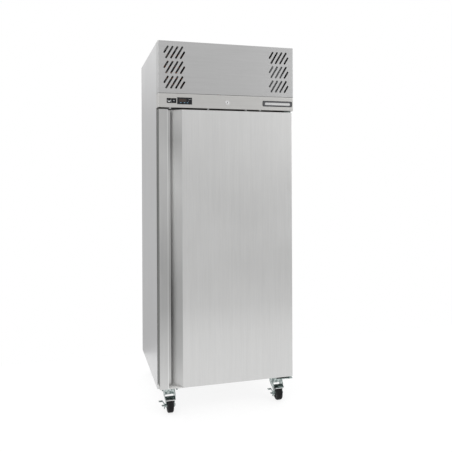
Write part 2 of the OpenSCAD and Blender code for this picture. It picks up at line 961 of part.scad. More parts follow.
// Hermetic compressor: a domed pot on rubber feet
module compressor() {
    x = 190;
    y = 60;
    r = 88;
    pot_h = 200;
    foot = 14;
    foot_d = 26;
    foot_x = 80;
    foot_y = 70;
    tray_x = 100;
    tray_y = 90;
    tray_t = 3;
    dome = 34;
    steps = 6;
    shoulder = pot_h - dome;
    color("black") translate([x, y, z_deck + deck_t]) {
        translate([0, 0, foot]) rotate_extrude() polygon(concat(
            [[0, 0], [r, 0]],
            [for (k = [0 : steps]) let (a = k * 90 / steps) [r * cos(a), shoulder + dome * sin(a)]]));
        for (sx = [-1, 1], sy = [-1, 1])
            bar_z(sx * foot_x, sy * foot_y, 0, foot_d, foot + tray_t);
        slab([-tray_x, -tray_y, foot], [tray_x, tray_y, foot + tray_t]);
    }
}

pipe_d = 9;

// Copper line: an upright riser with a bend and a level run to the coil
module line(x, y, z0, z1, run) {
    d = pipe_d;
    bend = 24;
    bar_z(x, y, z0, d, z1 - z0);
    translate([x, y - bend, z1]) rotate([90, 0, 90]) rotate_extrude(angle = 90)
        translate([bend, 0]) circle(d = d);
    bar_y(x, y - bend - run, z1 + bend, d, run);
}

module refrigerant_pipes() {
    z0 = z_deck + deck_t + 20;
    suction = 150;
    discharge = 200;
    liquid_rise = 10;
    color("peru") {
        line(70, 40, z0, z0 + suction, 180);
        line(80, 100, z0, z0 + discharge, 250);
        bar_y(40, -140, z0 + liquid_rise, pipe_d, 200);
    }
}

module filter_drier() {
    x = 10;
    y = -90;
    d = 42;
    len = 120;
    stub_d = 10;
    stub = 38;
    z0 = z_deck + deck_t + 40;
    color("peru") {
        bar_z(x, y, z0, d, len);
        bar_z(x, y, z0 + len - eps, stub_d, stub + eps);
        bar_z(x, y, z0 - stub, stub_d, stub + eps);
    }
}

module electrical_box() {
    w = 140;
    deep = 70;
    high = 238;
    x0 = half_w - 30 - w;
    y0 = y_face + 14;
    z0 = z_deck + deck_t;
    color("gainsboro") slab([x0, y0, z0], [x0 + w, y0 + deep, z0 + high]);
}

gland_x = 270;
gland_rise = 50;
gland_z = z_deck + gland_rise;
gland_d = 20;
gland_bore = 10;

// Supply cable gland through the rear panel
module cable_gland() {
    nut_d = 30;
    nut_t = 4;
    back = 14;
    color("dimgrey") difference() {
        union() {
            bar_y(gland_x, y_back, gland_z, nut_d, nut_t);
            bar_y(gland_x, y_back - sheet - back, gland_z, gland_d - 2 * seam, back + sheet + seam);
        }
        bar_y(gland_x, y_back - sheet - back - eps, gland_z, gland_bore, back + nut_t + 3 * eps);
    }
}

// ---- Castors ----

function castor_pos(side, end) = [side * castor_x, end > 0 ? castor_rear_y : castor_front_y, 0];

// Fixed halves of the castors: a top plate, a race and a kingpin, with bolt heads
module castor_plates() {
    pin_up = 12;
    pin_len = 14;
    bolt_x = 38;
    bolt_y = 31;
    bolt_d = 11;
    bolt_h = 14;
    color("silver") for (side = [-1, 1], end = [-1, 1]) translate(castor_pos(side, end)) {
        slab([-plate_x / 2, -plate_y / 2, z_base - plate_t], [plate_x / 2, plate_y / 2, z_base]);
        bar_z(0, 0, z_base - plate_t - race_h, race_d, race_h + seam);
        bar_z(0, 0, crown_top - pin_up, kingpin_d, pin_len);
        for (sx = [-1, 1], sy = [-1, 1])
            bar_z(sx * bolt_x, sy * bolt_y, z_base - plate_t - bolt_h, bolt_d, bolt_h + seam);
    }
}

// Outline of a fork leg in the YZ plane, wide at the crown and narrow at the axle
module leg_outline() {
    top_y = 28;
    side_y = 31;
    side_z = crown_z + 12;
    waist_y = 23;
    waist_z = crown_z - 6;
    elbow_y = -39;
    boss_r = 13;
    foot_r = boss_r * cos(45);
    polygon([[-side_y, side_z], [-top_y, crown_top], [top_y, crown_top], [side_y, side_z],
             [waist_y, waist_z], [boss_r - trail, axle_z + foot_r / 2], [-trail, axle_z - foot_r],
             [-foot_r - trail, axle_z - foot_r], [-boss_r - trail, axle_z + foot_r / 2],
             [elbow_y, waist_z]]);
    translate([-trail, axle_z]) circle(r = boss_r);
}

// Right leg seen from the front: it bulges below the crown and closes in at the axle
module leg_flare() {
    x0 = fork_gap / 2;
    bulge = 7;
    ease = 1;
    foot = 16;
    inner = [
        [x0, axle_z - foot], [x0, axle_z + 3], [x0 + ease, axle_z + foot],
        [x0 + bulge - ease, axle_z + 36], [x0 + bulge, crown_z + 2],
        [x0 + bulge - ease, crown_z + 12], [crown_half - leg_t, crown_top]
    ];
    count = len(inner);
    polygon(concat(inner, [for (k = [count - 1 : -1 : 0]) inner[k] + [leg_t, 0]]));
}

// Swivel fork: crown, two legs and the riveted axle. A braked one has a curved guard
// over the tyre, and a longer axle end that carries the pedal.
module fork(braked) {
    out = fork_gap / 2 + leg_t;
    cup_d = 50;
    cup_h = 14;
    head_d = 15;
    head_t = 5;
    web_y = 26;
    reach = 80;
    collar = fork_gap / 2 - tyre_w / 2 - clear;
    guard_r = wheel_d / 2 + 2.5;
    guard_t = 2.5;
    guard_half = fork_gap / 2 + 6.5;
    end_gap = 1.5;
    guard_from = -14;
    guard_sweep = 50;
    color("silver") difference() {
        union() {
            for (s = [0, 1]) mirror([s, 0, 0]) intersection() {
                translate([0, reach, 0]) rotate([90, 0, 0])
                    linear_extrude(height = 2 * reach) leg_flare();
                rotate([90, 0, 90]) linear_extrude(height = reach) leg_outline();
            }
            slab([-crown_half + 1, -web_y, crown_top - leg_t], [crown_half - 1, web_y, crown_top]);
            for (s = [-1, 1]) translate([0, s * (web_y - leg_t / 2), 0])
                slab([-crown_half + 1, -leg_t / 2, crown_z], [crown_half - 1, leg_t / 2, crown_top]);
            bar_z(0, 0, crown_top - cup_h, cup_d, cup_h);
            bar_x(-out - head_t, -trail, axle_z, axle_d, 2 * out + 2 * head_t);
            bar_x(-out - head_t, -trail, axle_z, head_d, head_t + seam);
            bar_x(out - seam, -trail, axle_z, head_d, head_t + seam);
            for (x = [-fork_gap / 2 - seam, fork_gap / 2 - collar])
                bar_x(x, -trail, axle_z, head_d + 3, collar + seam);
            if (braked) {
                bar_x(-out - pedal_out + seam + end_gap, -trail, axle_z, axle_d, pedal_out);
                translate([-guard_half, -trail, axle_z]) rotate([90, 0, 90])
                    rotate(90 + guard_from) linear_extrude(height = 2 * guard_half)
                        ring_sector(guard_r, guard_t, guard_sweep);
            }
        }
        bar_z(0, 0, crown_top - cup_h - eps, kingpin_d + 2 * pin_fit, cup_h + 2 * eps);
    }
}

// Part of a ring, from its inner radius, over an angle from the +X side
module ring_sector(r, t, sweep) {
    reach = 2 * (r + t);
    difference() {
        circle(r = r + t);
        circle(r = r);
        rotate(sweep) translate([-reach, 0]) square([2 * reach, reach]);
        rotate(180) translate([-reach, 0]) square([2 * reach, reach]);
    }
}

module front_left_fork() {
    translate(castor_pos(-1, -1)) fork(true);
}

module front_right_fork() {
    translate(castor_pos(1, -1)) fork(true);
}

module rear_left_fork() {
    translate(castor_pos(-1, 1)) fork(false);
}

module rear_right_fork() {
    translate(castor_pos(1, 1)) fork(false);
}

// Wheel: a tyre with round shoulders on a recessed hub
module wheel() {
    r = wheel_d / 2;
    half = tyre_w / 2;
    shoulder = 6;
    bore = axle_d / 2 + pin_fit;
    hub_r = 11;
    dish_r = 26;
    dish = 5;
    slope = 2;
    steps = 5;
    color("black") translate([0, -trail, axle_z]) rotate([0, 90, 0]) rotate_extrude() polygon(concat(
        [[bore, -half], [hub_r, -half], [hub_r + slope, -half + dish],
         [dish_r - slope, -half + dish], [dish_r, -half]],
        [for (k = [0 : steps]) let (a = -90 + k * 90 / steps)
            [r - shoulder + shoulder * cos(a), -half + shoulder + shoulder * sin(a)]],
        [for (k = [0 : steps]) let (a = k * 90 / steps)
            [r - shoulder + shoulder * cos(a), half - shoulder + shoulder * sin(a)]],
        [[dish_r, half], [dish_r - slope, half - dish], [hub_r + slope, half - dish],
         [hub_r, half], [bore, half]]));
}

module front_left_wheel() {
    translate(castor_pos(-1, -1)) wheel();
}

module front_right_wheel() {
    translate(castor_pos(1, -1)) wheel();
}

module rear_left_wheel() {
    translate(castor_pos(-1, 1)) wheel();
}

module rear_right_wheel() {
    translate(castor_pos(1, 1)) wheel();
}

// Side pedal: a blind boss on the axle end, a lever that rises outwards to a flat tread,
// a short release tab below it, and a stop ear
module brake_pedal() {
    out = fork_gap / 2 + leg_t;
    x0 = -out - pedal_out + seam;
    boss_t = 4.2;
    boss_d = 22;
    skin = 1.2;
    half = 8;
    plate = 2.6;
    tread_in = -8.5;
    tread_out = -28;
    tread_z = 25;
    arm_z = 6;
    arm_t = 3.2;
    tab_out = -12;
    tab_z = 1;
    ear_half = 6;
    ear_drop = 17;
    color("silver") difference() {
        union() {
            bar_x(x0, -trail, axle_z, boss_d, boss_t);
            slab([x0, -trail - ear_half, axle_z - ear_drop],
                 [x0 + boss_t, -trail + ear_half, axle_z]);
            translate([x0, half - trail, axle_z]) rotate([90, 0, 0])
                linear_extrude(height = 2 * half) polygon([
                    [boss_t, -arm_z], [boss_t, arm_z + arm_t], [tread_in + arm_t / 2, tread_z],
                    [tread_out, tread_z], [tread_out, tread_z - plate],
                    [tread_in - arm_t / 2, tread_z - plate], [0, arm_z - arm_t / 2], [0, tab_z],
                    [tab_out, tab_z], [tab_out, tab_z - plate], [0, tab_z - plate], [0, -arm_z]]);
        }
        bar_x(x0 + skin, -trail, axle_z, axle_d + 2 * pin_fit, boss_t);
    }
}

module left_brake_pedal() {
    translate(castor_pos(-1, -1)) brake_pedal();
}

module right_brake_pedal() {
    translate(castor_pos(1, -1)) brake_pedal();
}

left_side_panel();
right_side_panel();
rear_panel();
roof_panel();
base_panel();
front_frame();
cabinet_foam();
inner_liner();
machine_deck();
louvre_fascia();
control_fascia();
fascia_screws();
controller_case();
controller_window();
switch_frames();
lock_ring();
badge_plate();
hinge_brackets();
shelf_pilasters();
shelf_runners();
interior_lamp();
evaporator_coil();
evaporator_cover();
fan_motors();
condenser_coil();
fan_shroud();
compressor();
refrigerant_pipes();
filter_drier();
electrical_box();
cable_gland();
castor_plates();
door_skin();
door_foam();
door_liner();
door_gasket();
hinge_bushes();
lock_strike();
set_key();
down_key();
up_key();
power_rocker();
light_rocker();
lock_barrel();
lock_cam();
condenser_fan();
evaporator_fan();
lower_shelf();
middle_shelf();
upper_shelf();
front_left_fork();
front_right_fork();
rear_left_fork();
rear_right_fork();
front_left_wheel();
front_right_wheel();
rear_left_wheel();
rear_right_wheel();
left_brake_pedal();
right_brake_pedal();
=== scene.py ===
import math

import bmesh
import bpy
from mathutils import Matrix, Vector

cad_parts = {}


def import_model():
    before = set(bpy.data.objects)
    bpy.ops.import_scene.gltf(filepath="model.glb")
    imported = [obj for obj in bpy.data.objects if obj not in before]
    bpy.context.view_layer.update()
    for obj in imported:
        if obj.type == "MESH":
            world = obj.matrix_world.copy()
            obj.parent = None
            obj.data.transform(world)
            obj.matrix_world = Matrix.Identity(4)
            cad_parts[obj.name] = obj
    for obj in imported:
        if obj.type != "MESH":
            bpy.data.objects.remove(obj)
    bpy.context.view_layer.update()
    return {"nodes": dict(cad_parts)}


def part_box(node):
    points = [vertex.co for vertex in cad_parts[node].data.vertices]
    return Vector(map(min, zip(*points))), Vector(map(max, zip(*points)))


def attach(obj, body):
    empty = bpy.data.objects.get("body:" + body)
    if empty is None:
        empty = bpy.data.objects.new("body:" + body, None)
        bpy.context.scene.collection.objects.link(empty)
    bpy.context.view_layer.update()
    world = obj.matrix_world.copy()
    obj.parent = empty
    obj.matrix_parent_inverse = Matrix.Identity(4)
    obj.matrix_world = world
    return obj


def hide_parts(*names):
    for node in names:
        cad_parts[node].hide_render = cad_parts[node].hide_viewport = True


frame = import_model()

NODES = frame["nodes"]
MM = 0.001
X, Y, Z = Vector((1, 0, 0)), Vector((0, 1, 0)), Vector((0, 0, 1))


# ---------------------------------------------------------------- node helpers

class Graph:
    """A material's node tree, with short calls for the nodes used here."""

    RAMP_TOP = 1.3

    def __init__(self, name):
        self.mat = bpy.data.materials.new(name)
        self.mat.use_nodes = True
        self.tree = self.mat.node_tree
        self.bsdf = self.tree.nodes["Principled BSDF"]
        self.coord = self.tree.nodes.new("ShaderNodeTexCoord").outputs["Object"]

    def feed(self, socket, value):
        """A number, a colour or another node's output goes into a socket."""
        if isinstance(value, (int, float)):
            socket.default_value = value
        elif isinstance(value, tuple):
            socket.default_value = (*value, 1.0)
        else:
            self.tree.links.new(value, socket)

    def node(self, kind, **values):
        """A new node. Each value sets a property of that name, or else an input."""
        n = self.tree.nodes.new(kind)
        for key, value in values.items():
            if hasattr(n, key):
                setattr(n, key, value)
            else:
                n.inputs[key.replace("_", " ")].default_value = value
        return n

    def noise(self, scale, detail, roughness=0.55):
        """Noise with its own scale on each axis, in cycles per metre."""
        n = self.node("ShaderNodeTexNoise", Detail=detail, Roughness=roughness, Scale=1.0)
        mapping = self.node("ShaderNodeMapping", Scale=scale)
        self.feed(mapping.inputs["Vector"], self.coord)
        self.feed(n.inputs["Vector"], mapping.outputs["Vector"])
        return n.outputs["Fac"]

    def spread(self, value, low, high, src=(0.3, 0.7)):
        """A value in the range src, carried over to low and high and held there."""
        m = self.node("ShaderNodeMapRange", From_Min=src[0], From_Max=src[1],
                      To_Min=low, To_Max=high)
        self.feed(m.inputs["Value"], value)
        return m.outputs["Result"]

    def math(self, op, a, b):
        n = self.node("ShaderNodeMath", operation=op)
        for socket, value in zip(n.inputs, (a, b)):
            self.feed(socket, value)
        return n.outputs[0]

    def mix(self, fac, a, b):
        """Colour mix: a where fac is 0, b where it is 1."""
        n = self.node("ShaderNodeMix", data_type="RGBA")
        for name, value in (("Factor", fac), ("A", a), ("B", b)):
            self.feed(n.inputs[name], value)
        return n.outputs["Result"]

    def shade(self, color, factor):
        """Colour times a scalar field."""
        n = self.node("ShaderNodeMix", data_type="RGBA", blend_type="MULTIPLY", Factor=1.0)
        self.feed(n.inputs["A"], color)
        self.feed(n.inputs["B"], factor)
        return n.outputs["Result"]

    def bump(self, height, distance, strength, after=None):
        n = self.node("ShaderNodeBump", Strength=strength, Distance=distance)
        self.feed(n.inputs["Height"], height)
        if after is not None:
            self.feed(n.inputs["Normal"], after)
        return n.outputs["Normal"]

    def axis(self, index):
        """One coordinate, in metres."""
        s = self.node("ShaderNodeSeparateXYZ")
        self.feed(s.inputs[0], self.coord)
        return s.outputs[index]

    def ramp(self, value, stops):
        """Piecewise-linear curve of a coordinate, as (place in metres, level up to RAMP_TOP)."""
        lo, hi = stops[0][0], stops[-1][0]
        r = self.node("ShaderNodeValToRGB")
        elements = r.color_ramp.elements
        while len(elements) < len(stops):
            elements.new(0.5)
        for element, (at, level) in zip(elements, stops):
            element.position = (at - lo) / (hi - lo)
            element.color = (level / self.RAMP_TOP,) * 3 + (1,)
        self.feed(r.inputs["Fac"], self.spread(value, 0.0, 1.0, (lo, hi)))
        return self.math("MULTIPLY", r.outputs["Color"], self.RAMP_TOP)

    def lerp(self, fac, a, b):
        """Scalar mix: a where fac is 0, b where it is 1."""
        n = self.node("ShaderNodeMix", data_type="FLOAT")
        for socket, value in zip(n.inputs[:1] + n.inputs[2:4], (fac, a, b)):
            self.feed(socket, value)
        return n.outputs[0]

    def step(self, value, edge):
        """0 below the edge and 1 above it, over a soft 1.2 mm."""
        soft = 0.6 * MM
        return self.spread(value, 0.0, 1.0, (edge - soft, edge + soft))

    def set(self, **sockets):
        """Values for the surface shader's inputs."""
        for key, value in sockets.items():
            self.feed(self.bsdf.inputs[key.replace("_", " ")], value)


def brushed(name, base, rough, grain, painted_light=None):
    """Brushed stainless sheet: fine grain lines, broad rolling bands and faint handling marks."""
    g = Graph(name)

    def streaks(across, along):
        """Cycles per metre on each axis, few of them along the grain."""
        return tuple(along if axis == grain else across for axis in "xyz")

    lines = g.noise(streaks(900.0, 9.0), 4.0, 0.7)
    bands = g.noise(streaks(70.0, 1.1), 2.0)
    marks = g.noise((3.1, 3.1, 2.3), 4.0, 0.6)
    # The door's colour gets painted highlights and painted shade here, from the function passed
    # in.
    color = g.shade(painted_light(g, base) if painted_light else base, g.spread(bands, 0.98, 1.02))
    color = g.shade(color, g.spread(lines, 0.95, 1.05))
    g.set(Metallic=1.0, Base_Color=color)
    g.set(Roughness=g.math("ADD", g.spread(lines, rough - 0.05, rough + 0.05),
                           g.spread(marks, -0.035, 0.05)))
    g.set(Normal=g.bump(lines, 0.02 * MM, 0.5))
    return g


CLOUDS = (14.0, 14.0, 11.0)
DUST = (0.42, 0.41, 0.39)


def cast(name, base, rough, cycles, vary, relief=0.1 * MM, metallic=0.0, dust=0.0, gloss=0.5):
    """Moulded, plated or painted surface. Its texture has some cycles per metre and a relief,
    and its colour varies slowly, with dust in patches."""
    g = Graph(name)
    fine = g.noise((cycles,) * 3, 3.0, 0.6)
    slow = g.noise(CLOUDS, 4.0, 0.6)
    color = g.shade(base, g.spread(slow, 1 - vary, 1 + vary))
    if dust:
        color = g.mix(g.spread(slow, 0.0, dust, (0.45, 0.75)), color, DUST)
    g.set(Metallic=metallic, Base_Color=color, Specular_IOR_Level=gloss)
    g.set(Roughness=g.math("ADD", g.spread(fine, rough - 0.05, rough + 0.05),
                           g.spread(slow, -0.04, 0.05)))
    g.set(Normal=g.bump(fine, relief, 0.35))
    return g


def plated(name, dark, light, rough):
    """Bright zinc plate: cloudy passivation in two tones, over a fine rolled texture."""
    g = Graph(name)
    cloud = g.noise((95.0, 95.0, 80.0), 3.0, 0.65)
    slow = g.noise(CLOUDS, 4.0, 0.6)
    fine = g.noise((520.0, 520.0, 520.0), 3.0, 0.6)
    color = g.mix(g.spread(cloud, 0.0, 1.0, (0.40, 0.62)), dark, light)
    color = g.shade(color, g.spread(slow, 0.88, 1.08))
    g.set(Metallic=1.0, Base_Color=color)
    g.set(Roughness=g.math("ADD", g.spread(cloud, rough - 0.06, rough + 0.08),
                           g.spread(fine, -0.03, 0.03)))
    g.set(Normal=g.bump(fine, 0.1 * MM, 0.35, g.bump(cloud, 0.4 * MM, 0.4)))
    return g


# ---------------------------------------------------------------- materials

skin_lo, skin_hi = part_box("door_skin")
STRIP_EDGE = skin_lo.x + 46.6 * MM
CREASE = STRIP_EDGE + 18.4 * MM
SLANT_END = CREASE + 55.6 * MM

# Painted light and shade that multiply the door's colour across it: a painted highlight on the
# strip's bend, painted shade on the groove's floor by the crease and painted light on the slanted
# wall beside it: (place across the door, level)
ACROSS_PAINTED_LIGHT = (
    (skin_lo.x, 1.0), (STRIP_EDGE - 0.006, 0.96), (STRIP_EDGE - 0.003, 1.22),
    (STRIP_EDGE, 1.22), (STRIP_EDGE + 0.002, 0.84), (CREASE - 0.008, 0.74),
    (CREASE - 0.002, 0.68), (CREASE, 1.0), (CREASE + 0.004, 1.22), (CREASE + 0.010, 1.14),
    (CREASE + 0.018, 1.06), (CREASE + 0.030, 1.03), (SLANT_END - 0.001, 0.98),
    (SLANT_END, 1.0))
# and painted reflections, lighter and darker by height, as (height, level) for the handle strip,
# the groove behind it, its slanted wall and the face
STRIP_PAINTED_REFLECTION = (
    (0.15, 0.97), (0.22, 0.92), (0.38, 0.80), (0.56, 0.70), (0.80, 0.72), (1.06, 0.85),
    (1.35, 0.87), (1.50, 0.77), (1.60, 0.75))
GROOVE_PAINTED_REFLECTION = (
    (0.19, 1.16), (0.32, 0.98), (0.44, 0.90), (0.57, 0.83), (0.69, 0.82), (0.82, 0.93),
    (0.94, 1.01), (1.07, 1.12), (1.19, 1.19), (1.31, 1.12), (1.44, 0.92), (1.56, 1.02))
SLANT_PAINTED_REFLECTION = (
    (0.19, 0.88), (0.32, 0.72), (0.44, 0.66), (0.57, 0.70), (0.69, 0.74), (0.82, 0.85),
    (0.94, 0.91), (1.07, 0.92), (1.19, 0.98), (1.31, 0.87), (1.44, 0.66), (1.56, 0.75))
FACE_PAINTED_REFLECTION = (
    (0.15, 0.92), (0.42, 0.92), (0.57, 0.88), (0.78, 0.93), (0.98, 0.98), (1.20, 1.0),
    (1.60, 1.0))


def door_painted_light(g, base):
    """Painted light and shade on the door's colour: a painted highlight on the handle strip's
    bend, painted shade in the groove's crease, and painted reflections that rise and fall with
    height over the strip, the groove, its slanted wall and the face."""
    across = g.ramp(g.axis(0), ACROSS_PAINTED_LIGHT)
    strip, groove, slant, face = (
        g.ramp(g.axis(2), stops) for stops in (STRIP_PAINTED_REFLECTION, GROOVE_PAINTED_REFLECTION, SLANT_PAINTED_REFLECTION, FACE_PAINTED_REFLECTION))
    height = g.lerp(g.step(g.axis(0), STRIP_EDGE), strip, groove)
    height = g.lerp(g.step(g.axis(0), CREASE), height, slant)
    height = g.lerp(g.step(g.axis(0), SLANT_END), height, 1.0)
    return g.shade(g.shade(g.shade(base, across), height), face)


M = {
    "side": brushed("side_steel", (0.61, 0.61, 0.615), 0.35, "z"),
    # The door's steel carries painted highlights, painted shade and painted reflections in its
    # colour.
    "door": brushed("door_steel", (0.675, 0.675, 0.67), 0.36, "z", painted_light=door_painted_light),
    "louvre": brushed("louvre_steel", (0.505, 0.505, 0.505), 0.36, "x"),
    "strip": brushed("control_steel", (0.57, 0.565, 0.552), 0.36, "x"),
    "rear": brushed("rear_steel", (0.58, 0.58, 0.58), 0.40, "z"),
    "liner": brushed("liner_steel", (0.66, 0.66, 0.66), 0.30, "z"),
    "wire": brushed("wire_steel", (0.68, 0.68, 0.68), 0.24, "y"),
    "plate": brushed("badge_steel", (0.12, 0.12, 0.125), 0.38, "x"),
    "zinc": plated("bright_zinc", (0.11, 0.145, 0.14), (0.54, 0.60, 0.585), 0.22),
    "pin": cast("polished_pin", (0.72, 0.72, 0.72), rough=0.16, cycles=700.0, vary=0.05,
                relief=0.03 * MM, metallic=1.0),
    "screw": cast("screw_heads", (0.80, 0.80, 0.80), rough=0.45, cycles=700.0, vary=0.05,
                  relief=0.03 * MM, metallic=0.2),
    "coil": cast("coil_fins", (0.62, 0.63, 0.64), rough=0.38, cycles=600.0, vary=0.08,
                 metallic=1.0),
    "motor": cast("motor_iron", (0.10, 0.105, 0.11), rough=0.5, cycles=500.0, vary=0.15,
                  relief=0.2 * MM, metallic=0.4, dust=0.2),
    "pot": cast("compressor_paint", (0.012, 0.012, 0.013), rough=0.28, cycles=300.0, vary=0.15,
                relief=0.2 * MM, dust=0.15),
    "copper": cast("copper_tube", (0.80, 0.36, 0.20), rough=0.26, cycles=200.0, vary=0.12,
                   metallic=1.0),
    "black": cast("black_moulding", (0.010, 0.011, 0.013), rough=0.38, cycles=900.0, vary=0.12,
                  relief=0.06 * MM, gloss=0.22),
    "fan": cast("fan_moulding", (0.018, 0.018, 0.019), rough=0.5, cycles=700.0, vary=0.12,
                dust=0.15),
    "window": cast("tinted_window", (0.030, 0.018, 0.013), rough=0.08, cycles=40.0, vary=0.08,
                   relief=0.01 * MM),
    "key": cast("key_moulding", (0.10, 0.23, 0.33), rough=0.42, cycles=900.0, vary=0.10,
                relief=0.05 * MM),
    "mark": cast("light_print", (0.62, 0.64, 0.64), rough=0.5, cycles=900.0, vary=0.06,
                 relief=0.03 * MM),
    "bush": cast("bush_moulding", (0.72, 0.71, 0.66), rough=0.4, cycles=600.0, vary=0.05),
    "lamp": cast("lamp_diffuser", (0.86, 0.87, 0.87), rough=0.22, cycles=500.0, vary=0.03),
    "box": cast("box_moulding", (0.52, 0.53, 0.54), rough=0.5, cycles=700.0, vary=0.05),
    "foam": cast("foam", (0.75, 0.62, 0.34), rough=0.9, cycles=160.0, vary=0.15,
                 relief=1.2 * MM),
    "gasket": cast("gasket_rubber", (0.10, 0.10, 0.105), rough=0.55, cycles=500.0, vary=0.10,
                   relief=0.2 * MM),
    "edge": cast("edge_profile", (0.10, 0.105, 0.10), rough=0.5, cycles=600.0, vary=0.12),
    "frame": cast("frame_profile", (0.20, 0.20, 0.195), rough=0.45, cycles=600.0, vary=0.08),
    "tyre": cast("tyre_rubber", (0.009, 0.009, 0.010), rough=0.62, cycles=350.0, vary=0.2,
                 relief=0.4 * MM, dust=0.02, gloss=0.18),
    "hub": cast("hub_moulding", (0.05, 0.052, 0.055), rough=0.5, cycles=500.0, vary=0.1,
                gloss=0.3),
    "cap": cast("end_cap", (0.80, 0.80, 0.785), rough=0.5, cycles=500.0, vary=0.05),
    "foot": cast("edge_foot", (0.50, 0.50, 0.485), rough=0.5, cycles=500.0, vary=0.05),
    "rim": brushed("badge_rim", (0.66, 0.66, 0.66), 0.28, "x"),
}

NODE_LOOK = {
    "left_side_panel": "side", "right_side_panel": "side", "rear_panel": "rear",
    "roof_panel": "side", "base_panel": "side", "front_frame": "frame", "cabinet_foam": "foam",
    "inner_liner": "liner", "machine_deck": "rear", "louvre_fascia": "louvre",
    "control_fascia": "strip", "fascia_screws": "screw", "controller_case": "black",
    "controller_window": "window", "switch_frames": "black", "lock_ring": "pin",
    "badge_plate": "plate", "hinge_brackets": "zinc", "shelf_pilasters": "liner",
    "shelf_runners": "liner", "interior_lamp": "lamp", "evaporator_coil": "coil",
    "evaporator_cover": "liner", "fan_motors": "motor", "condenser_coil": "coil",
    "fan_shroud": "fan", "compressor": "pot", "refrigerant_pipes": "copper",
    "filter_drier": "copper", "electrical_box": "box", "cable_gland": "black",
    "castor_plates": "zinc", "door_skin": "door", "door_foam": "foam", "door_liner": "liner",
    "door_gasket": "gasket", "hinge_bushes": "bush", "lock_strike": "zinc", "set_key": "key",
    "down_key": "key", "up_key": "key", "power_rocker": "black", "light_rocker": "black",
    "lock_barrel": "pin", "lock_cam": "zinc", "condenser_fan": "fan", "evaporator_fan": "fan",
    "lower_shelf": "wire", "middle_shelf": "wire", "upper_shelf": "wire",
    "left_brake_pedal": "zinc", "right_brake_pedal": "zinc",
}
for end in ("front", "rear"):
    for side in ("left", "right"):
        NODE_LOOK[f"{end}_{side}_fork"] = "zinc"
        NODE_LOOK[f"{end}_{side}_wheel"] = "tyre"

for name, look in NODE_LOOK.items():
    data = NODES[name].data
    data.materials.clear()
    data.materials.append(M[look].mat)


# ---------------------------------------------------------------- shapes

SMOOTH_BELOW = math.radians(35)


def place(name, verts, faces, look, body, bevel=0.0, smooth=True):
    """A mesh piece in row coordinates, riding on a body."""
    mesh = bpy.data.meshes.new(name)
    mesh.from_pydata([tuple(v) for v in verts], [], faces)
    mesh.validate()
    bm = bmesh.new()
    bm.from_mesh(mesh)
    bmesh.ops.recalc_face_normals(bm, faces=bm.faces)
    bm.to_mesh(mesh)
    bm.free()
    obj = bpy.data.objects.new(name, mesh)
    bpy.context.scene.collection.objects.link(obj)
    mesh.materials.append(M[look].mat)
    if bevel:
        b = obj.modifiers.new("bevel", "BEVEL")
        b.width = bevel
        b.segments = 3
        b.limit_method = "ANGLE"
        b.angle_limit = SMOOTH_BELOW
    if smooth:
        for polygon in mesh.polygons:
            polygon.use_smooth = True
        mesh.set_sharp_from_angle(angle=SMOOTH_BELOW)
    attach(obj, body)
    return obj


def circle(r, count):
    """Outline of a round disc about its middle."""
    turns = (2 * math.pi * k / count for k in range(count))
    return [(r * math.cos(a), r * math.sin(a)) for a in turns]


def rounded(w, h, r, steps=5):
    """Outline of a rounded rectangle about its middle."""
    points = []
    for cx, cy, start in ((1, 1, 0), (-1, 1, 90), (-1, -1, 180), (1, -1, 270)):
        for k in range(steps + 1):
            a = math.radians(start + 90 * k / steps)
            points.append((cx * (w / 2 - r) + r * math.cos(a),
                           cy * (h / 2 - r) + r * math.sin(a)))
    return points


